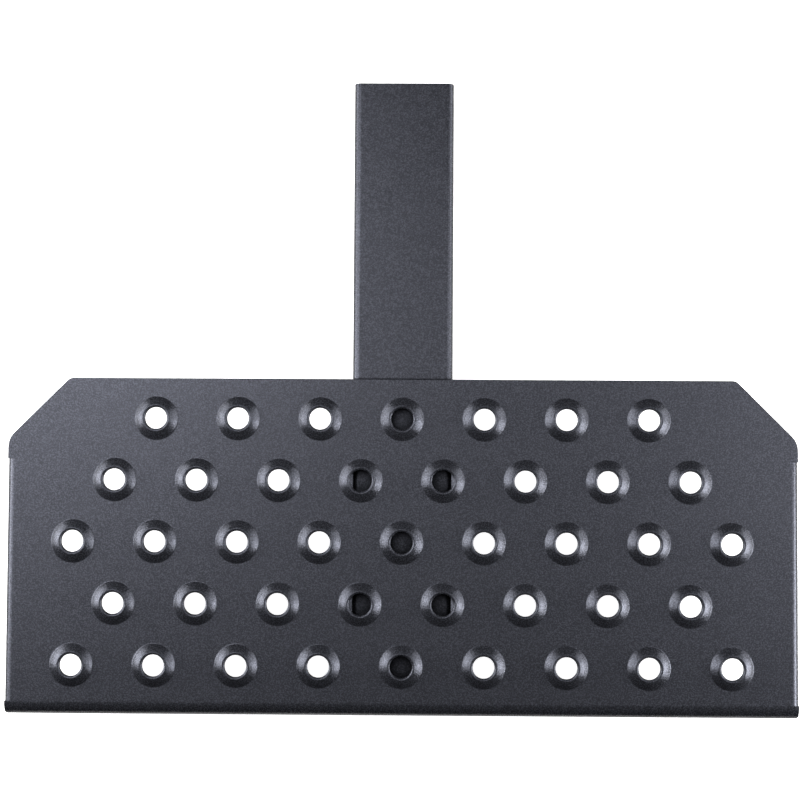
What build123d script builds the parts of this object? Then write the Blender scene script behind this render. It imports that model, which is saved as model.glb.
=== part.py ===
from build123d import *
from math import cos, radians, sin, tan
import os

# Tailgate step for a 2 inch (50.8 mm) hitch receiver: a square shank tube with a
# folded, dimpled tread plate welded across it and a gusset under each wing.
# Millimetres. Origin: centre of the hitch pin hole, on the shank's axis.
# +Y runs along the shank towards the vehicle, +X to the right, +Z up.

# ---- driving dimensions -------------------------------------------------
# shank tube: 2 inch square, drilled from side to side for a 5/8 inch hitch pin
TUBE_SIDE = 50.8
TUBE_WALL = 3.2
TUBE_CORNER = 3.5
TUBE_BORE_CORNER = 1.0
PIN_HOLE_RADIUS = 8.33
PIN_TO_FREE_END = 63.5
SHANK_EXPOSED = 152.4
TUBE_SETBACK = 12.0

# tread plate: one folded sheet with a front flange and two side flanges
SHEET = 3.0
PLATE_WIDTH = 400.0
PLATE_DEPTH = 170.0
FLANGE_DEPTH = 28.0
CHAMFER = 31.0
CHAMFER_BACK_RADIUS = 5.0
CHAMFER_SIDE_RADIUS = 10.0
FRONT_BEND_RADIUS = 6.5
SIDE_BEND_RADIUS = 3.5
FRONT_CORNER_RADIUS = 1.5
FLANGE_END_GAP = 6.0
FLANGE_END_RADIUS = 8.0

# raised anti-slip dimples, in five staggered rows from back to front
COLUMN_PITCH = 41.6
ROW_PITCH = 31.2
FIRST_ROW_INSET = 20.4
HOLES_PER_ROW = (7, 8, 9, 8, 9)
HOLE_RADIUS = 5.5
LIP_RADIUS = 6.6
LIP_SHOULDER = 7.0
DIMPLE_RADIUS = 10.9
SHOULDER_SLOPE = 30.0
FOOT_SLOPE = 46.0
DIMPLE_BLANK = 12.0

# gussets: one plate under each wing, between the third and fourth rows
GUSSET_THICKNESS = 4.0
GUSSET_REACH = 152.0
GUSSET_NOSE = 9.0
GUSSET_FOOT = -13.0
GUSSET_SNIPE = 11.0

# weld beads
SEAM_LEG_PLATE = 4.0
SEAM_LEG_TUBE = 8.0
SEAM_ROOT = 1.5
SEAM_INSET = 4.0
END_FILLET_LEG = 4.0
GUSSET_FILLET_LEG = 3.0
BEAD_BULGE = 0.5
GUSSET_BEAD_MARGIN = 2.0

# ---- derived positions --------------------------------------------------
HALF_TUBE = TUBE_SIDE / 2
PLATE_UNDER = HALF_TUBE
PLATE_TOP = PLATE_UNDER + SHEET
FLANGE_BOTTOM = PLATE_TOP - FLANGE_DEPTH
HALF_WIDTH = PLATE_WIDTH / 2
BACK_Y = PIN_TO_FREE_END - SHANK_EXPOSED
FRONT_Y = BACK_Y - PLATE_DEPTH
TUBE_FRONT_Y = FRONT_Y + TUBE_SETBACK
TUBE_LENGTH = PIN_TO_FREE_END - TUBE_FRONT_Y
CHAMFER_SIDE_Y = BACK_Y - CHAMFER
FLANGE_END_Y = CHAMFER_SIDE_Y - CHAMFER_SIDE_RADIUS * tan(radians(22.5)) - FLANGE_END_GAP
GUSSET_Y = BACK_Y - FIRST_ROW_INSET - 2.5 * ROW_PITCH
LOW_CORNER = (Align.MIN, Align.MIN)


def upright(y):
    """The sketching plane across the step at y: sketch x is +X and sketch y is +Z."""
    return Plane(origin=(0, y, 0), x_dir=(1, 0, 0), z_dir=(0, -1, 0))


def lengthwise(x):
    """The sketching plane along the step at x: sketch x is +Y and sketch y is +Z."""
    return Plane(origin=(x, 0, 0), x_dir=(0, 1, 0), z_dir=(1, 0, 0))


def block(low, high):
    """A box given by its lowest and highest corners."""
    size = [b - a for a, b in zip(low, high)]
    return Pos(*low) * Box(*size, align=(Align.MIN, Align.MIN, Align.MIN))


# ---- tread plate --------------------------------------------------------
def fold_section(reach, bend_radius):
    """A sheet folded down at sketch x = 0: its top at y = 0, its flange FLANGE_DEPTH deep."""
    outer = Pos(0, -FLANGE_DEPTH) * Rectangle(reach, FLANGE_DEPTH, align=LOW_CORNER)
    corner = outer.vertices().sort_by(Axis.X)[:2].sort_by(Axis.Y)[-1]
    outer = fillet(corner, bend_radius)
    inner = Pos(SHEET, -FLANGE_DEPTH) * Rectangle(reach, FLANGE_DEPTH - SHEET, align=LOW_CORNER)
    corner = inner.vertices().sort_by(Axis.X)[:2].sort_by(Axis.Y)[-1]
    inner = fillet(corner, bend_radius - SHEET)
    return outer - inner


def front_fold():
    """The flat of the tread with its front flange, over the plate's full width."""
    section = Pos(FRONT_Y, PLATE_TOP) * fold_section(PLATE_DEPTH, FRONT_BEND_RADIUS)
    return extrude(lengthwise(-HALF_WIDTH) * section, amount=PLATE_WIDTH)


def side_flange():
    """The left side flange, from the front bend to its rounded back end."""
    section = Pos(-HALF_WIDTH, PLATE_TOP) * fold_section(SIDE_BEND_RADIUS, SIDE_BEND_RADIUS)
    start = FRONT_Y + FRONT_BEND_RADIUS
    flange = extrude(upright(FLANGE_END_Y) * section, amount=FLANGE_END_Y - start)
    end_corner = flange.edges().filter_by(Axis.X).group_by(Axis.Y)[-1].sort_by(Axis.Z)[0]
    flange = fillet(end_corner, FLANGE_END_RADIUS)
    closing = block(
        (-HALF_WIDTH, FRONT_Y + SHEET, FLANGE_BOTTOM),
        (-HALF_WIDTH + SHEET, start, PLATE_UNDER),
    )
    return flange + closing


def side_strip():
    """What the left side bend takes off the flat sheet."""
    return block(
        (-HALF_WIDTH, FRONT_Y + FRONT_BEND_RADIUS, PLATE_UNDER),
        (-HALF_WIDTH + SIDE_BEND_RADIUS, FLANGE_END_Y, PLATE_TOP),
    )


def plate_outline():
    """The plate from above: small front corners and a rounded chamfer at each back corner."""
    outline = Pos(0, FRONT_Y) * Rectangle(PLATE_WIDTH, PLATE_DEPTH, align=(Align.CENTER, Align.MIN))
    outline = chamfer(outline.vertices().group_by(Axis.Y)[-1], CHAMFER)
    outline = fillet(outline.vertices().group_by(Axis.Y)[-1], CHAMFER_BACK_RADIUS)
    sides = outline.vertices().filter_by_position(Axis.Y, CHAMFER_SIDE_Y - 1, CHAMFER_SIDE_Y + 1)
    outline = fillet(sides, CHAMFER_SIDE_RADIUS)
    return fillet(outline.vertices().group_by(Axis.Y)[0], FRONT_CORNER_RADIUS)


def dimple_section():
    """Half of a raised dimple's section; sketch x is the radius, y = 0 the tread's top."""
    slope_radius = (DIMPLE_RADIUS - LIP_SHOULDER) / (
        sin(radians(FOOT_SLOPE)) - sin(radians(SHOULDER_SLOPE))
    )
    slope_centre = (
        DIMPLE_RADIUS - slope_radius * sin(radians(FOOT_SLOPE)),
        -slope_radius * cos(radians(FOOT_SLOPE)),
    )
    sweep = FOOT_SLOPE - SHOULDER_SLOPE
    top_slope = CenterArc(slope_centre, slope_radius, 90 - FOOT_SLOPE, sweep)
    under_slope = CenterArc(slope_centre, slope_radius - SHEET, 90 - FOOT_SLOPE, sweep)

    shoulder = top_slope @ 1
    crest_radius = (LIP_SHOULDER - LIP_RADIUS) / sin(radians(SHOULDER_SLOPE))
    crest_centre = (LIP_RADIUS, shoulder.Y - crest_radius * cos(radians(SHOULDER_SLOPE)))
    crest = CenterArc(crest_centre, crest_radius, 90 - SHOULDER_SLOPE, SHOULDER_SLOPE)

    lip = crest @ 1
    roll_radius = LIP_RADIUS - HOLE_RADIUS
    roll = CenterArc((LIP_RADIUS, lip.Y - roll_radius), roll_radius, 90, 90)

    under_foot = under_slope @ 0
    foot_run = (under_foot.Y + SHEET) / tan(radians(FOOT_SLOPE))
    outline = [
        top_slope,
        crest,
        roll,
        Line(roll @ 1, under_slope @ 1),
        under_slope,
        Polyline(
            under_foot,
            (under_foot.X + foot_run, -SHEET),
            (DIMPLE_BLANK, -SHEET),
            (DIMPLE_BLANK, 0),
            top_slope @ 0,
        ),
    ]
    return make_face(outline)


def dimple_places():
    """The centre of every dimple; the rows are staggered by half a pitch."""
    places = []
    for row, count in enumerate(HOLES_PER_ROW):
        y = BACK_Y - FIRST_ROW_INSET - row * ROW_PITCH
        for column in range(count):
            x = (column - (count - 1) / 2) * COLUMN_PITCH
            places.append((x, y))
    return places


def tread_plate():
    """The folded sheet with its dimples."""
    flange = side_flange()
    strip = side_strip()
    sheet = front_fold() - strip - mirror(strip, about=Plane.YZ)
    sheet = sheet + flange + mirror(flange, about=Plane.YZ)
    envelope = extrude(Pos(0, 0, FLANGE_BOTTOM) * plate_outline(), amount=FLANGE_DEPTH)
    sheet = sheet & envelope
    places = [Pos(x, y, PLATE_TOP) for x, y in dimple_places()]
    blank = Pos(0, 0, -SHEET / 2) * Cylinder(DIMPLE_BLANK, SHEET)
    dimple = revolve(Plane.XZ * dimple_section(), axis=Axis.Z)
    sheet = sheet - [place * blank for place in places]
    return sheet + [place * dimple for place in places]


# ---- shank tube ---------------------------------------------------------
def tube_section(side, corner):
    return RectangleRounded(side, side, corner)


def hitch_tube():
    """The shank: open at both ends, with the pin hole through its two side walls."""
    bore = tube_section(TUBE_SIDE - 2 * TUBE_WALL, TUBE_BORE_CORNER)
    section = tube_section(TUBE_SIDE, TUBE_CORNER) - bore
    tube = extrude(upright(PIN_TO_FREE_END) * section, amount=TUBE_LENGTH)
    pin_hole = Rot(0, 90, 0) * Cylinder(PIN_HOLE_RADIUS, 2 * TUBE_SIDE)
    return tube - pin_hole


# ---- gussets ------------------------------------------------------------
def gusset():
    """The right wing's gusset, with its inner top corner cut to clear the seam weld."""
    outline = Polyline(
        (HALF_TUBE, GUSSET_FOOT),
        (GUSSET_REACH, PLATE_UNDER - GUSSET_NOSE),
        (GUSSET_REACH, PLATE_UNDER),
        (HALF_TUBE + GUSSET_SNIPE, PLATE_UNDER),
        (HALF_TUBE, PLATE_UNDER - GUSSET_SNIPE),
        close=True,
    )
    back_face = upright(GUSSET_Y + GUSSET_THICKNESS / 2)
    return extrude(back_face * make_face(outline), amount=GUSSET_THICKNESS)


# ---- weld beads ---------------------------------------------------------
def fillet_section(leg):
    """A fillet bead with its corner at the origin and its legs along -x and -y."""
    middle = -leg / 2 - BEAD_BULGE * cos(radians(45))
    face = ThreePointArc((-leg, 0), (middle, middle), (0, -leg))
    return make_face([face, Polyline((0, -leg), (0, 0), (-leg, 0))])


def seam_weld():
    """The right seam, filling the groove between the tube's rounded corner and the plate."""
    toe_plate = (HALF_TUBE + SEAM_LEG_PLATE, PLATE_UNDER)
    toe_tube = (HALF_TUBE, PLATE_UNDER - SEAM_LEG_TUBE)
    root = HALF_TUBE - TUBE_CORNER + SEAM_ROOT
    crown = (HALF_TUBE + SEAM_LEG_PLATE / 2 + BEAD_BULGE, PLATE_UNDER - SEAM_LEG_TUBE / 2)
    bead = make_face(
        [
            ThreePointArc(toe_plate, crown, toe_tube),
            Polyline(toe_tube, (root, toe_tube[1]), (root, PLATE_UNDER), toe_plate),
        ]
    )
    bead = bead - tube_section(TUBE_SIDE, TUBE_CORNER)
    start = BACK_Y - SEAM_INSET
    return extrude(upright(start) * bead, amount=start - TUBE_FRONT_Y)


def front_weld():
    """The bead across the tube's front end, under the plate."""
    half_length = HALF_TUBE - TUBE_CORNER
    section = Pos(TUBE_FRONT_Y, PLATE_UNDER) * fillet_section(END_FILLET_LEG)
    return extrude(lengthwise(-half_length) * section, amount=2 * half_length)


def gusset_plate_weld():
    """Two beads under the plate, one on each face of the right gusset."""
    start = HALF_TUBE + GUSSET_SNIPE + GUSSET_BEAD_MARGIN
    length = GUSSET_REACH - GUSSET_BEAD_MARGIN - start
    front_face = GUSSET_Y - GUSSET_THICKNESS / 2
    section = Pos(front_face, PLATE_UNDER) * fillet_section(GUSSET_FILLET_LEG)
    bead = extrude(lengthwise(start) * section, amount=length)
    return [bead, mirror(bead, about=Plane.XZ.offset(-GUSSET_Y))]


def gusset_tube_weld():
    """Two beads down the tube's side, one on each face of the right gusset."""
    top = PLATE_UNDER - GUSSET_SNIPE - GUSSET_BEAD_MARGIN
    bottom = GUSSET_FOOT + GUSSET_BEAD_MARGIN
    front_face = GUSSET_Y - GUSSET_THICKNESS / 2
    downwards = Plane(origin=(HALF_TUBE, front_face, top), x_dir=(-1, 0, 0), z_dir=(0, 0, -1))
    bead = extrude(downwards * fillet_section(GUSSET_FILLET_LEG), amount=top - bottom)
    return [bead, mirror(bead, about=Plane.XZ.offset(-GUSSET_Y))]


# ---- nodes --------------------------------------------------------------
def both_sides(name, solids):
    """The right-hand node and its mirror image on the left."""
    mirrored = [mirror(solid, about=Plane.YZ) for solid in solids]
    return {f"{name}_right": solids, f"{name}_left": mirrored}


nodes = {
    "tread_plate": [tread_plate()],
    "hitch_tube": [hitch_tube()],
    "weld_tube_front": [front_weld()],
}
nodes |= both_sides("gusset", [gusset()])
nodes |= both_sides("weld_seam", [seam_weld()])
nodes |= both_sides("weld_gusset_plate", gusset_plate_weld())
nodes |= both_sides("weld_gusset_tube", gusset_tube_weld())

os.makedirs("parts", exist_ok=True)
for name, pieces in nodes.items():
    solids = [solid for piece in pieces for solid in piece.solids()]
    export_step(Compound(children=solids), f"parts/{name}.step")
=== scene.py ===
import bpy
import bmesh
from math import acos, cos, pi, radians, sin, tan
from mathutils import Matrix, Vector


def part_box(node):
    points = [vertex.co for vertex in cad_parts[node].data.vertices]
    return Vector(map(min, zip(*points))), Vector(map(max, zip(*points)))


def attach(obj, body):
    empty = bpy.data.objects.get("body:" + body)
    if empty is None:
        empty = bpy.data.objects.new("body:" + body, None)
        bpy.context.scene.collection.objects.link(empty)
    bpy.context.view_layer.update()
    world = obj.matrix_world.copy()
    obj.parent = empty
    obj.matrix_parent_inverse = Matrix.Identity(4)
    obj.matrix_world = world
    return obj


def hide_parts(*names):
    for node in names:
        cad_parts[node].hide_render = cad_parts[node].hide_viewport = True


# A powder-coated step for a hitch receiver. The pieces below stand for the nodes of the
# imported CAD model, at its places and in its sizes, with rounded edges, smooth dimples,
# rippled weld beads and a textured coat. Lengths are metres, and +Y is towards the vehicle.
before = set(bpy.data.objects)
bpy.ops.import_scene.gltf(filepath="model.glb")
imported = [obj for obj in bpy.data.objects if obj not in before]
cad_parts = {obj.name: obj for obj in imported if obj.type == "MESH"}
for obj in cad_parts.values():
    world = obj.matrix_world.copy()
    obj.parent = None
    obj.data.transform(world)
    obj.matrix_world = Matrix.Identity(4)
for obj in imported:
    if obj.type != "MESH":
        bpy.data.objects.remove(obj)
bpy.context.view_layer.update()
MM = 0.001

# ---- sizes that the frame gives ------------------------------------------
PLATE_LOW, PLATE_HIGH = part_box("tread_plate")
TUBE_LOW, TUBE_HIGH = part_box("hitch_tube")
TUBE_HALF = TUBE_HIGH.x
PLATE_UNDER = TUBE_HIGH.z
BACK_Y = PLATE_HIGH.y

# ---- sizes repeated from the design --------------------------------------
SHEET = 3 * MM
PLATE_TOP = PLATE_UNDER + SHEET
COLUMN_PITCH = 41.6 * MM
ROW_PITCH = 31.2 * MM
FIRST_ROW_INSET = 20.4 * MM
HOLES_PER_ROW = (7, 8, 9, 8, 9)
HOLE_RADIUS = 5.5 * MM
LIP_RADIUS = 6.6 * MM
LIP_SHOULDER = 7 * MM
DIMPLE_RADIUS = 10.9 * MM
SHOULDER_SLOPE = radians(30)
FOOT_SLOPE = radians(46)
FLANGE_END_Y = BACK_Y - 41.14 * MM
TUBE_WALL = 3.2 * MM
TUBE_CORNER = 3.5 * MM
TUBE_BORE_CORNER = 1 * MM
PIN_HOLE_RADIUS = 8.33 * MM

# ---- finish of the visible model -----------------------------------------
EDGE_ROUND = 0.4 * MM
EDGE_STEPS = 3
RING_STEPS = 56
CORNER_STEPS = 8
SHARP = radians(35)

# ---- tolerances -----------------------------------------------------------
SAME_POINT = 0.001 * MM
SAME_LEVEL = 0.01 * MM
SAME_FLAT = radians(0.2)
LEVEL_NORMAL_Z = 0.9999


# ---- small helpers --------------------------------------------------------
def arc(centre, radius, start, end, steps):
    """Points from angle start to angle end, both included."""
    angles = [start + (end - start) * i / steps for i in range(steps + 1)]
    return [(centre[0] + radius * cos(a), centre[1] + radius * sin(a)) for a in angles]


def loft(bm, rings):
    """Quads between each ring of vertices and the next. All are closed and of one length."""
    for first, second in zip(rings, rings[1:]):
        for i in range(len(first)):
            j = (i + 1) % len(first)
            bm.faces.new((first[i], first[j], second[j], second[i]))


def revolve(bm, profile, steps, place):
    """Turns a profile of (radius, height) about an axis; returns its first and last rings.

    place(u, v, height) gives the point at distances u and v across the axis.
    """
    rings = []
    for radius, height in profile:
        ring = []
        for step in range(steps):
            a = 2 * pi * step / steps
            ring.append(bm.verts.new(place(radius * cos(a), radius * sin(a), height)))
        rings.append(ring)
    loft(bm, rings)
    return rings[0], rings[-1]


def ring_edges(ring):
    """The edges of a closed ring of vertices."""
    pairs = zip(ring, ring[1:] + ring[:1])
    return [next(e for e in a.link_edges if e.other_vert(a) is b) for a, b in pairs]


def cad_mesh(node):
    """A copy of the CAD node's mesh, with its doubled vertices joined."""
    bm = bmesh.new()
    bm.from_mesh(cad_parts[node].data)
    bmesh.ops.remove_doubles(bm, verts=bm.verts, dist=SAME_POINT)
    return bm


def join_flats(bm):
    """Dissolves the edges and vertices that only divide a flat."""
    bmesh.ops.dissolve_limit(bm, angle_limit=SAME_FLAT, verts=bm.verts, edges=bm.edges)


def round_sharp_edges(bm, edges):
    """Rounds these edges where their faces turn sharply."""
    sharp = [e for e in edges if e.is_manifold and e.calc_face_angle(0) > SHARP]
    bmesh.ops.bevel(
        bm,
        geom=sharp,
        offset=EDGE_ROUND,
        offset_type="OFFSET",
        segments=EDGE_STEPS,
        profile=0.5,
        affect="EDGES",
        clamp_overlap=False,
        loop_slide=True,
    )


def smooth_object(bm, name, material):
    """A smooth shaded object from bm."""
    bmesh.ops.recalc_face_normals(bm, faces=bm.faces)
    mesh = bpy.data.meshes.new(name)
    bm.to_mesh(mesh)
    bm.free()
    mesh.shade_smooth()
    mesh.materials.append(material)
    shape = bpy.data.objects.new(name, mesh)
    bpy.context.scene.collection.objects.link(shape)
    return shape


def finish_mesh(bm, name, material):
    """A piece from bm, smooth shaded, with its sharp edges and its flats kept."""
    piece = smooth_object(bm, name, material)
    piece.data.set_sharp_from_angle(angle=SHARP)
    weighted = piece.modifiers.new("flats stay flat", "WEIGHTED_NORMAL")
    weighted.mode = "FACE_AREA"
    weighted.weight = 100
    weighted.keep_sharp = True
    return piece


def stand_for(piece, node):
    """The piece rides on the step's one body in place of the CAD node."""
    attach(piece, "root")
    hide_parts(node)


# ---- powder coat ----------------------------------------------------------
# Each noise is (features per metre, detail, roughness).
GRAIN_NOISE = (1400, 2, 0.75)
PEEL_NOISE = (260, 1.5, 0.5)
PATCH_NOISE = (30, 3, 0.55)
# The coat's colour, roughness and specular level follow the grain between two values
# of its noise, and the patches darken the colour a little.
GRAIN_SPAN = (0.2, 0.8)
COAT_COLOURS = ((0.003, 0.0031, 0.0038), (0.0278, 0.0291, 0.0352))
COAT_SHINE = (0.15, 0.85)
COAT_TINT = (0.79, 0.825, 1.0, 1)
ROUGHNESS_SPAN = (0.3, 0.7)
COAT_ROUGHNESS = (0.24, 0.30)
PATCH_SPAN = (0.30, 0.70)
PATCH_COLOURS = ((0.92, 0.92, 0.92), (1.0, 1.0, 1.0))
GRAIN_HEIGHT = 0.12 * MM
PEEL_HEIGHT = 0.02 * MM
# The gloss fades towards grazing angles, as it does on a fine texture.
GRAZING_SPAN = (0.35, 0.65)
GRAZING_SHINE = 0.05
# Painted shade: the tube's top is darkened under the tread, where its shadow falls, and in a
# thin painted shadow line just behind the tread's back edge. The heights and starts below are
# where the shade goes from none to full, in z and in y. It is half as strong on a painted pool
# of light below each hole.
SHADE_HEIGHTS = (PLATE_UNDER - 3 * MM, PLATE_UNDER - 1 * MM)
SHADE_STARTS = (BACK_Y + 0.9 * MM, BACK_Y + 0.4 * MM)
SHADE_COLOUR = (0.25, 0.25, 0.25, 1)
SHADE_SHINE = 0.2
LIT_SPOT = (1.0 * MM, 5.5 * MM)
LIT_SPOT_SHADE = 0.5


class Nodes:
    """A material with one Principled shader. A helper that adds a node returns it."""

    def __init__(self, name):
        self.material = bpy.data.materials.new(name)
        self.material.use_nodes = True
        self.tree = self.material.node_tree
        self.tree.nodes.clear()
        self.output = self.add("ShaderNodeOutputMaterial")
        self.shader = self.add("ShaderNodeBsdfPrincipled")
        self.link(self.shader, "BSDF", self.output, "Surface")
        self.place = self.add("ShaderNodeTexCoord")

    def add(self, kind, **settings):
        """A node of this kind with these settings."""
        node = self.tree.nodes.new(kind)
        for key, value in settings.items():
            setattr(node, key, value)
        return node

    def link(self, source, output, target, socket):
        """Links two nodes by the names of their sockets."""
        self.tree.links.new(source.outputs[output], target.inputs[socket])

    def noise(self, scale, detail, roughness):
        """Noise in object space; scale is in features per metre."""
        texture = self.add("ShaderNodeTexNoise", noise_dimensions="3D")
        texture.inputs["Scale"].default_value = scale
        texture.inputs["Detail"].default_value = detail
        texture.inputs["Roughness"].default_value = roughness
        self.link(self.place, "Object", texture, "Vector")
        return texture

    def map_range(self, source, output, span, result):
        """Maps source from span to result, clamped at both ends."""
        mapped = self.add("ShaderNodeMapRange")
        mapped.inputs["From Min"].default_value = span[0]
        mapped.inputs["From Max"].default_value = span[1]
        mapped.inputs["To Min"].default_value = result[0]
        mapped.inputs["To Max"].default_value = result[1]
        self.link(source, output, mapped, "Value")
        return mapped

    def math(self, operation, first, second):
        """A Math node on two output sockets."""
        node = self.add("ShaderNodeMath", operation=operation)
        self.tree.links.new(first, node.inputs[0])
        self.tree.links.new(second, node.inputs[1])
        return node

    def ramp(self, source, output, span, colours):
        """A colour ramp driven by source, from one colour to the other over span."""
        ramp = self.add("ShaderNodeValToRGB")
        for element, position, colour in zip(ramp.color_ramp.elements, span, colours):
            element.position = position
            element.color = (*colour, 1)
        self.link(source, output, ramp, "Fac")
        return ramp

    def darken(self, source, output):
        """A Mix node that multiplies source by its B, as far as its Factor says."""
        mix = self.add("ShaderNodeMix", data_type="RGBA", blend_type="MULTIPLY")
        self.link(source, output, mix, "A")
        return mix

    def bump(self, source, output, strength, height, before=None):
        """Bump of this height in metres, on top of an earlier bump."""
        bump = self.add("ShaderNodeBump")
        bump.inputs["Strength"].default_value = strength
        bump.inputs["Distance"].default_value = height
        self.link(source, output, bump, "Height")
        if before:
            self.link(before, "Normal", bump, "Normal")
        return bump


def powder_coat(name, grain, ripple, with_tread_shade=False):
    """Satin charcoal powder coat: a sandy grain on soft orange peel, slightly mottled."""
    n = Nodes(name)
    fine = n.noise(*GRAIN_NOISE)
    peel = n.noise(*PEEL_NOISE)
    patchy = n.noise(*PATCH_NOISE)

    shade = n.ramp(fine, "Fac", GRAIN_SPAN, COAT_COLOURS)
    drift = n.ramp(patchy, "Fac", PATCH_SPAN, PATCH_COLOURS)
    colour = n.darken(shade, "Color")
    colour.inputs["Factor"].default_value = 1
    n.link(drift, "Color", colour, "B")
    n.link(colour, "Result", n.shader, "Base Color")

    gloss = n.map_range(fine, "Fac", ROUGHNESS_SPAN, COAT_ROUGHNESS)
    n.link(gloss, "Result", n.shader, "Roughness")

    rolling = n.bump(peel, "Fac", ripple, PEEL_HEIGHT)
    sandy = n.bump(fine, "Fac", grain, GRAIN_HEIGHT, rolling)
    n.link(sandy, "Normal", n.shader, "Normal")

    glint = n.map_range(fine, "Fac", GRAIN_SPAN, COAT_SHINE)
    angle = n.add("ShaderNodeLayerWeight")
    angle.inputs["Blend"].default_value = 0.5
    masked = n.map_range(angle, "Facing", GRAZING_SPAN, (1, GRAZING_SHINE))
    shine = n.math("MULTIPLY", glint.outputs["Result"], masked.outputs["Result"])
    n.link(shine, "Value", n.shader, "Specular IOR Level")
    n.shader.inputs["Specular Tint"].default_value = COAT_TINT
    # The tube's coat gets painted shade under the tread.
    if with_tread_shade:
        paint_tread_shade(n, colour, shine)
    return n.material


def distance_to_hole(n, shift):
    """Distance along the tread to the nearest hole of every second row.

    Those holes lie on a grid with cells of one column pitch by two row pitches. One of
    its points is the middle of the tread's first row, moved by shift.
    """
    half_cell = Vector((COLUMN_PITCH / 2, ROW_PITCH, 0))
    first = Vector((0, BACK_Y - FIRST_ROW_INSET, 0)) + shift
    moved = n.add("ShaderNodeVectorMath", operation="SUBTRACT")
    moved.inputs[1].default_value = first
    n.link(n.place, "Object", moved, "Vector")
    wrapped = n.add("ShaderNodeVectorMath", operation="WRAP")
    wrapped.inputs[1].default_value = half_cell
    wrapped.inputs[2].default_value = -half_cell
    n.link(moved, "Vector", wrapped, "Vector")
    length = n.add("ShaderNodeVectorMath", operation="LENGTH")
    n.link(wrapped, "Vector", length, "Vector")
    return length


def paint_tread_shade(n, colour, shine):
    """Paints shade on the tube's top under the tread and a shadow line behind its back edge,
    weaker below each hole.
    """
    axes = n.add("ShaderNodeSeparateXYZ")
    n.link(n.place, "Object", axes, "Vector")
    near_top = n.map_range(axes, "Z", SHADE_HEIGHTS, (0, 1))
    covered = n.map_range(axes, "Y", SHADE_STARTS, (0, 1))
    # Below each hole the painted shade is weaker, a painted pool of the light that falls
    # through it.
    odd_rows = distance_to_hole(n, Vector())
    even_rows = distance_to_hole(n, Vector((COLUMN_PITCH / 2, -ROW_PITCH, 0)))
    nearest = n.math("MINIMUM", odd_rows.outputs["Value"], even_rows.outputs["Value"])
    outside_lit_spot = n.map_range(nearest, "Value", LIT_SPOT, (LIT_SPOT_SHADE, 1))
    hidden = n.math("MULTIPLY", near_top.outputs["Result"], covered.outputs["Result"])
    painted_shade = n.math("MULTIPLY", hidden.outputs["Value"], outside_lit_spot.outputs["Result"])

    # The painted shade darkens the colour,
    dark = n.darken(colour, "Result")
    dark.inputs["B"].default_value = SHADE_COLOUR
    n.link(painted_shade, "Value", dark, "Factor")
    n.link(dark, "Result", n.shader, "Base Color")

    # and it dims the specular level there too, as painted shade on the reflection.
    shaded_gloss = n.map_range(painted_shade, "Value", (0, 1), (1, SHADE_SHINE))
    level = n.math("MULTIPLY", shine.outputs["Value"], shaded_gloss.outputs["Result"])
    n.link(level, "Value", n.shader, "Specular IOR Level")


COAT = powder_coat("powder_coat_satin", grain=1.0, ripple=0.5)
# This coat carries painted shade under the tread, on the tube's top.
TUBE_COAT = powder_coat("powder_coat_on_tube", grain=1.0, ripple=0.5, with_tread_shade=True)
WELD_COAT = powder_coat("powder_coat_on_weld", grain=0.8, ripple=0.7)


# ---- tread plate ----------------------------------------------------------
# The dimple's foot is filleted, and each arc of its profile has its own steps.
FOOT_FILLET = 0.9 * MM
FOOT_STEPS = 4
SLOPE_STEPS = 6
CREST_STEPS = 3
ROLL_STEPS = 5
UNDER_STEPS = 5
RIM_CHAMFER = 1.4 * EDGE_ROUND
DIMPLE_MARGIN = 1 * MM
FLANGE_END_MARGIN = 0.5 * MM
BEND_DEPTH = 5 * MM


def dimple_places():
    """The centre of every dimple; the rows are staggered by half a pitch."""
    places = []
    for row, count in enumerate(HOLES_PER_ROW):
        y = BACK_Y - FIRST_ROW_INSET - row * ROW_PITCH
        for column in range(count):
            places.append(Vector(((column - (count - 1) / 2) * COLUMN_PITCH, y)))
    return places


def fillet_against_slope(slope_centre, slope_radius):
    """The centre of the foot fillet, which touches the flat and the dimple's slope."""
    reach = slope_radius + FOOT_FILLET
    rise = FOOT_FILLET - slope_centre[1]
    return (slope_centre[0] + (reach**2 - rise**2) ** 0.5, FOOT_FILLET)


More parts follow.
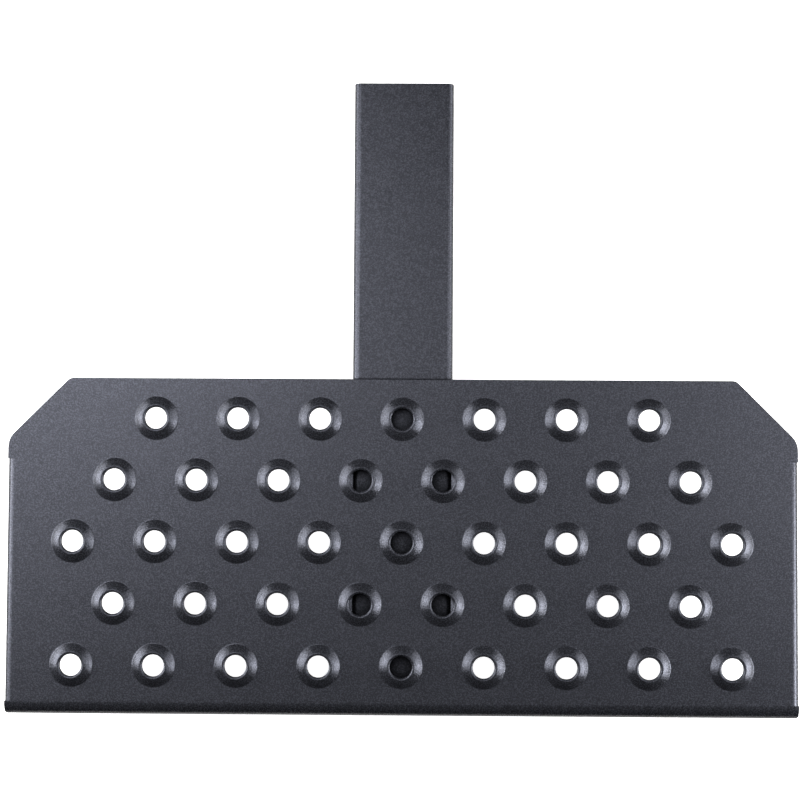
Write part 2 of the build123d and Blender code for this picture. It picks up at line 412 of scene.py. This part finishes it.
def dimple_profile():
    """(radius, height above the tread) from the top flat, over the lip, to the under flat."""
    slope_radius = (DIMPLE_RADIUS - LIP_SHOULDER) / (sin(FOOT_SLOPE) - sin(SHOULDER_SLOPE))
    slope_centre = (
        DIMPLE_RADIUS - slope_radius * sin(FOOT_SLOPE),
        -slope_radius * cos(FOOT_SLOPE),
    )
    fillet_centre = fillet_against_slope(slope_centre, slope_radius)
    meeting = acos((FOOT_FILLET - slope_centre[1]) / (slope_radius + FOOT_FILLET))
    foot = arc(fillet_centre, FOOT_FILLET, -pi / 2, -pi / 2 - meeting, FOOT_STEPS)
    shoulder = pi / 2 - SHOULDER_SLOPE
    slope = arc(slope_centre, slope_radius, pi / 2 - meeting, shoulder, SLOPE_STEPS)

    crest_radius = (LIP_SHOULDER - LIP_RADIUS) / sin(SHOULDER_SLOPE)
    crest_centre = (LIP_RADIUS, slope[-1][1] - crest_radius * cos(SHOULDER_SLOPE))
    crest = arc(crest_centre, crest_radius, shoulder, pi / 2, CREST_STEPS)
    roll_radius = LIP_RADIUS - HOLE_RADIUS
    roll_centre = (LIP_RADIUS, crest[-1][1] - roll_radius)
    roll = arc(roll_centre, roll_radius, pi / 2, pi, ROLL_STEPS)

    under_radius = slope_radius - SHEET
    under_start = acos((HOLE_RADIUS + EDGE_ROUND - slope_centre[0]) / under_radius)
    under = arc(slope_centre, under_radius, under_start, pi / 2 - FOOT_SLOPE, UNDER_STEPS)
    hole_end = (HOLE_RADIUS, under[0][1] + RIM_CHAMFER)
    under_foot = (under[-1][0] + (under[-1][1] + SHEET) / tan(FOOT_SLOPE), -SHEET)
    toe = (under_foot[0] + EDGE_ROUND, -SHEET)
    inner_toe = (
        under_foot[0] - EDGE_ROUND * cos(FOOT_SLOPE),
        -SHEET + EDGE_ROUND * sin(FOOT_SLOPE),
    )
    return foot + slope[1:] + crest[1:] + roll[1:] + [hole_end] + under + [inner_toe, toe]


def add_dimple(bm, place, profile):
    """Adds a dimple without its flats; returns its rings at the tread's top and underside."""
    return revolve(
        bm,
        profile,
        RING_STEPS,
        lambda x, y, height: (place.x + x, place.y + y, PLATE_TOP + height),
    )


def fold_skin(places):
    """The CAD plate's folds, flanges and outer edges, without its flats and dimples."""
    bm = cad_mesh("tread_plate")

    def in_flats(face):
        z = face.calc_center_median().z
        level = min(abs(z - PLATE_TOP), abs(z - PLATE_UNDER)) < SAME_LEVEL
        return level and abs(face.normal.z) > LEVEL_NORMAL_Z

    def in_dimple(face):
        middle = face.calc_center_median().to_2d()
        reach = DIMPLE_RADIUS + DIMPLE_MARGIN
        return any((middle - place).length < reach for place in places)

    doomed = [f for f in bm.faces if in_flats(f) or in_dimple(f)]
    bmesh.ops.delete(bm, geom=doomed, context="FACES")
    join_flats(bm)
    return bm


def boundary_at(bm, height):
    """The open edges that lie at this height."""
    open_edges = [e for e in bm.edges if e.is_boundary]
    return [e for e in open_edges if all(abs(v.co.z - height) < SAME_LEVEL for v in e.verts)]


def clear_of_bends(edge):
    """Whether the edge is on the sheet's back outline or low on a flange."""
    behind = all(v.co.y > FLANGE_END_Y + FLANGE_END_MARGIN for v in edge.verts)
    low = all(v.co.z < PLATE_UNDER - BEND_DEPTH for v in edge.verts)
    return behind or low


def tread_plate():
    """The folded sheet, with its edges rounded and a revolved dimple at every place."""
    places = dimple_places()
    profile = dimple_profile()
    bm = fold_skin(places)
    borders_top = boundary_at(bm, PLATE_TOP)
    borders_under = boundary_at(bm, PLATE_UNDER)
    folds = list(bm.edges)
    for place in places:
        top, under = add_dimple(bm, place, profile)
        borders_top += ring_edges(top)
        borders_under += ring_edges(under)
    for borders in (borders_top, borders_under):
        bmesh.ops.triangle_fill(bm, use_beauty=True, use_dissolve=False, edges=borders)
    bmesh.ops.recalc_face_normals(bm, faces=bm.faces)
    round_sharp_edges(bm, [e for e in folds if e.is_valid and clear_of_bends(e)])
    return finish_mesh(bm, "tread_plate_coated", COAT)


# ---- shank tube -----------------------------------------------------------
def rounded_square(half, corner):
    """(x, z) points round a square of rounded corners, counter-clockwise from +X."""
    reach = half - corner
    centres = ((reach, reach), (-reach, reach), (-reach, -reach), (reach, -reach))
    points = []
    for quarter, centre in enumerate(centres):
        a = quarter * pi / 2
        points += arc(centre, corner, a, a + pi / 2, CORNER_STEPS)
    return points


def hitch_tube():
    """The square tube, open at both ends, with rounded saw cuts and pin holes."""
    turn = arc((0, 0), EDGE_ROUND, 0, pi / 2, EDGE_STEPS)
    cut = [(EDGE_ROUND - inset, out - EDGE_ROUND) for inset, out in turn]
    cut += [(TUBE_WALL - EDGE_ROUND + inset, out - EDGE_ROUND) for inset, out in reversed(turn)]
    path = [(inset, TUBE_HIGH.y + out) for inset, out in cut]
    path += [(inset, TUBE_LOW.y - out) for inset, out in reversed(cut)]

    bm = bmesh.new()
    rings = []
    for inset, y in path:
        corner = max(TUBE_CORNER - inset, TUBE_BORE_CORNER)
        points = rounded_square(TUBE_HALF - inset, corner)
        rings.append([bm.verts.new((x, y, z)) for x, z in points])
    loft(bm, rings + rings[:1])
    for side in (1, -1):
        cut_pin_hole(bm, side)
    return finish_mesh(bm, "hitch_tube_coated", TUBE_COAT)


def cut_pin_hole(bm, side):
    """Opens one side wall for the hitch pin, with a softened rim inside and out."""
    outer = TUBE_HALF
    inner = TUBE_HALF - TUBE_WALL
    widest = PIN_HOLE_RADIUS + EDGE_ROUND
    rim = arc((0, 0), EDGE_ROUND, 0, pi / 2, EDGE_STEPS)
    profile = [(widest - across, outer - EDGE_ROUND + out) for across, out in reversed(rim)]
    profile += [(widest - across, inner + EDGE_ROUND - out) for across, out in rim]
    outside, inside = revolve(bm, profile, RING_STEPS, lambda y, z, x: (side * x, y, z))
    for x, ring in ((outer, outside), (inner, inside)):
        wall = max(
            (f for f in bm.faces if abs(f.calc_center_median().x - side * x) < SAME_LEVEL),
            key=lambda f: f.calc_area(),
        )
        border = list(wall.edges)
        bmesh.ops.delete(bm, geom=[wall], context="FACES_ONLY")
        bmesh.ops.triangle_fill(bm, use_beauty=True, edges=border + ring_edges(ring))


# ---- gussets --------------------------------------------------------------
def gusset(side):
    """The CAD gusset with its plate edges rounded."""
    bm = cad_mesh(f"gusset_{side}")
    join_flats(bm)
    round_sharp_edges(bm, list(bm.edges))
    return finish_mesh(bm, f"gusset_{side}_coated", COAT)


# ---- weld beads -----------------------------------------------------------
BEAD_STEP = 0.4 * MM
BEAD_LEAST_STEPS = 8
BEAD_ACROSS = 9
BEAD_SINK = 0.3 * MM
# Each end narrows over BEAD_TAPER towards a point that lies BEAD_BLUNT beyond it.
BEAD_TAPER = 1.6 * MM
BEAD_BLUNT = 0.3 * MM
# Each ripple dips at its start and runs out along the bead. It fades towards the toes,
# and its ends there lag behind its middle, so that it looks like a crescent.
RIPPLE_PITCH = 2.4 * MM
RIPPLE_DEPTH = 0.28 * MM
RIPPLE_LAG = 0.55 * RIPPLE_PITCH
RIPPLE_FALL = 1.5
RIPPLE_FADE = 0.6
SEAM_CROWN = 0.7 * MM
SEAM_ROOT_INSET = 1.2 * MM
SEAM_ROOT_DEPTH = 2.1 * MM
FRONT_CROWN = 0.6 * MM
GUSSET_CROWN = 0.5 * MM


def bead(bm, start, end, toe_a, toe_b, root, crown):
    """A rippled bead from start to end.

    toe_a, toe_b and root are offsets from the line to the section's corners; the face
    between the toes bulges by crown, and crescent ripples follow one another along it.
    """
    start = Vector(start)
    run = Vector(end) - start
    along = run.normalized()
    toe_a = Vector(toe_a)
    toe_b = Vector(toe_b)
    root = Vector(root)
    outward = ((toe_a + toe_b) / 2 - root).normalized()
    stations = max(BEAD_LEAST_STEPS, round(run.length / BEAD_STEP))
    rings = []
    for i in range(stations + 1):
        at = run.length * i / stations
        to_end = min(at, run.length - at)
        taper = min(1, (to_end + BEAD_BLUNT) / BEAD_TAPER) ** 0.5
        ring = []
        for k in range(BEAD_ACROSS + 1):
            u = k / BEAD_ACROSS
            swell = 4 * u * (1 - u)
            phase = ((at + RIPPLE_LAG * (1 - swell)) / RIPPLE_PITCH) % 1
            ripple = RIPPLE_DEPTH * (1 - phase) ** RIPPLE_FALL * swell**RIPPLE_FADE
            bulge = outward * (crown * swell * taper - ripple)
            point = root + (toe_a.lerp(toe_b, u) - root) * taper + bulge
            ring.append(bm.verts.new(start + along * at + point))
        ring.append(bm.verts.new(start + along * at + root))
        rings.append(ring)
    loft(bm, rings)
    bm.faces.new(rings[0])
    bm.faces.new(list(reversed(rings[-1])))


def seam_bead(side, sign):
    """The seam between the tube's rounded corner and the plate's underside."""
    low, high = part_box(f"weld_seam_{side}")
    bm = bmesh.new()
    corner_x = TUBE_HALF * sign
    reach = max(abs(low.x), abs(high.x)) - TUBE_HALF
    bead(
        bm,
        (corner_x, low.y, PLATE_UNDER),
        (corner_x, high.y, PLATE_UNDER),
        (reach * sign, 0, BEAD_SINK),
        (-BEAD_SINK * sign, 0, low.z - PLATE_UNDER),
        (-SEAM_ROOT_INSET * sign, 0, -SEAM_ROOT_DEPTH),
        SEAM_CROWN,
    )
    return finish_mesh(bm, f"weld_seam_{side}_coated", WELD_COAT)


def front_bead():
    """The bead across the tube's front end."""
    low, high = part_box("weld_tube_front")
    leg = high.z - low.z
    bm = bmesh.new()
    bead(
        bm,
        (low.x, high.y, PLATE_UNDER),
        (high.x, high.y, PLATE_UNDER),
        (0, -leg, BEAD_SINK),
        (0, BEAD_SINK, -leg),
        (0, BEAD_SINK, BEAD_SINK),
        FRONT_CROWN,
    )
    return finish_mesh(bm, "weld_tube_front_coated", WELD_COAT)


def gusset_beads(kind, side, sign):
    """Two beads, one on each face of a gusset, along the plate or down the tube."""
    node = f"weld_gusset_{kind}_{side}"
    low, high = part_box(node)
    gusset_low, gusset_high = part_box(f"gusset_{side}")
    wall = TUBE_HALF * sign
    bm = bmesh.new()
    for face_y, toe_y, outward in ((gusset_low.y, low.y, -1), (gusset_high.y, high.y, 1)):
        leg = abs(toe_y - face_y)
        if kind == "plate":
            bead(
                bm,
                (low.x, face_y, PLATE_UNDER),
                (high.x, face_y, PLATE_UNDER),
                (0, leg * outward, BEAD_SINK),
                (0, -BEAD_SINK * outward, -leg),
                (0, -BEAD_SINK * outward, BEAD_SINK),
                GUSSET_CROWN,
            )
        else:
            bead(
                bm,
                (wall, face_y, high.z),
                (wall, face_y, low.z),
                (-BEAD_SINK * sign, leg * outward, 0),
                (leg * sign, -BEAD_SINK * outward, 0),
                (-BEAD_SINK * sign, -BEAD_SINK * outward, 0),
                GUSSET_CROWN,
            )
    return finish_mesh(bm, f"{node}_coated", WELD_COAT)


def build_step():
    """Every piece, each in place of its CAD node."""
    stand_for(tread_plate(), "tread_plate")
    stand_for(hitch_tube(), "hitch_tube")
    stand_for(front_bead(), "weld_tube_front")
    for side, sign in (("left", -1), ("right", 1)):
        stand_for(gusset(side), f"gusset_{side}")
        stand_for(seam_bead(side, sign), f"weld_seam_{side}")
        for kind in ("plate", "tube"):
            node = f"weld_gusset_{kind}_{side}"
            stand_for(gusset_beads(kind, side, sign), node)


# ---- studio ---------------------------------------------------------------
FLOOR_GAP = 0.05 * MM
FLOOR_Z = TUBE_LOW.z - FLOOR_GAP
FLOOR_HUB = 0.02
FLOOR_RADIUS = 4.0
SWEEP_RADIUS = 2.0
SWEEP_STEPS = 12
WALL_TOP = 6.0
FLOOR_STEPS = 96
TREAD_MIDDLE = Vector((0, (PLATE_LOW.y + PLATE_HIGH.y) / 2, PLATE_TOP))
CAMERA_OFFSET = Vector((0.0160, 0.0018, 1.1637))
CAMERA_TURN = (radians(3.577), radians(0.827), radians(0.358))
WORLD_COLOUR = (0.005, 0.005, 0.0055, 1)


def pale_floor():
    """A matt white that also glows, so that it looks white however it is lit."""
    material = bpy.data.materials.new("pale_floor")
    material.use_nodes = True
    shader = material.node_tree.nodes["Principled BSDF"]
    shader.inputs["Base Color"].default_value = (0.9, 0.9, 0.9, 1)
    shader.inputs["Roughness"].default_value = 0.9
    shader.inputs["Emission Color"].default_value = (1, 1, 1, 1)
    shader.inputs["Emission Strength"].default_value = 0.95
    return material


def studio_floor():
    """A pale floor that curves up into a wall all round, like a light table.

    Only the camera sees it, so that it adds no light to the step's edges.
    """
    sweep_centre = (FLOOR_RADIUS, SWEEP_RADIUS)
    sweep = arc(sweep_centre, SWEEP_RADIUS, -pi / 2, 0, SWEEP_STEPS)
    profile = [(FLOOR_HUB, 0)] + sweep + [(FLOOR_RADIUS + SWEEP_RADIUS, WALL_TOP)]
    bm = bmesh.new()
    hub, _ = revolve(bm, profile, FLOOR_STEPS, lambda x, y, height: (x, y, FLOOR_Z + height))
    bm.faces.new(hub)
    floor = smooth_object(bm, "studio_floor", pale_floor())
    floor.visible_diffuse = False
    floor.visible_glossy = False
    floor.visible_shadow = False


def soft_light(name, azimuth, elevation, distance, size, power):
    """An area light of this size in metres and power in watts, aimed at the tread.

    Azimuth 0 is at its back (+Y) and 90 on its right, both angles in degrees.
    """
    a = radians(azimuth)
    e = radians(elevation)
    away = Vector((sin(a) * cos(e), cos(a) * cos(e), sin(e)))
    light = bpy.data.lights.new(name, "AREA")
    light.shape = "RECTANGLE"
    light.size, light.size_y = size
    light.energy = power
    lamp = bpy.data.objects.new(name, light)
    lamp.location = TREAD_MIDDLE + away * distance
    lamp.rotation_mode = "QUATERNION"
    lamp.rotation_quaternion = away.to_track_quat("Z", "Y")
    lamp.visible_camera = False
    bpy.context.scene.collection.objects.link(lamp)


def studio_lights():
    """Large panels low on both sides, weaker lamps above them, and panels below.

    The left is lit more strongly than the right, as in the photo, except by the edge
    lamps. The panels below the step show its flanges and its tube in side views.
    """
    soft_light("left_panel", -69, 13, 1.2, (1.24, 0.5), 15)
    soft_light("right_panel", 83, 12, 1.2, (1.5, 0.5), 14)
    soft_light("left_edge", -84, 14, 0.45, (0.22, 0.12), 0.65)
    soft_light("right_edge", 99, 14, 0.45, (0.22, 0.12), 1.2)
    soft_light("left_mid", -80, 45, 0.8, (0.4, 0.3), 3.2)
    soft_light("right_mid", 80, 45, 0.8, (0.4, 0.3), 1.4)
    soft_light("left_high", -45, 59, 0.64, (0.28, 0.28), 1.45)
    soft_light("right_high", 68, 55, 0.6, (0.3, 0.25), 0.55)
    soft_light("left_overhead", -58, 75, 0.9, (0.35, 0.35), 0.58)
    soft_light("right_overhead", 60, 76, 0.9, (0.35, 0.35), 0.44)
    soft_light("left_under", -90, -36, 1.2, (1.2, 1.0), 8)
    soft_light("right_under", 90, -36, 1.2, (1.2, 1.0), 8)
    soft_light("front_under", 180, -50, 1.2, (1.4, 0.9), 10)
    soft_light("back_under", 0, -20, 1.2, (1.2, 0.6), 8)
    world = bpy.data.worlds.new("dim_studio")
    world.use_nodes = True
    world.node_tree.nodes["Background"].inputs["Color"].default_value = WORLD_COLOUR
    bpy.context.scene.world = world


def studio_camera():
    """Looks down on the tread from just off its axis, vehicle side upwards."""
    lens = bpy.data.cameras.new("camera")
    lens.sensor_width = 36
    lens.lens = 103.5
    lens.clip_start = 0.05
    lens.clip_end = 40
    camera = bpy.data.objects.new("camera", lens)
    camera.location = TREAD_MIDDLE + CAMERA_OFFSET
    camera.rotation_euler = CAMERA_TURN
    bpy.context.scene.collection.objects.link(camera)
    bpy.context.scene.camera = camera


build_step()
studio_floor()
studio_lights()
studio_camera()
bpy.context.scene.view_settings.view_transform = "Standard"
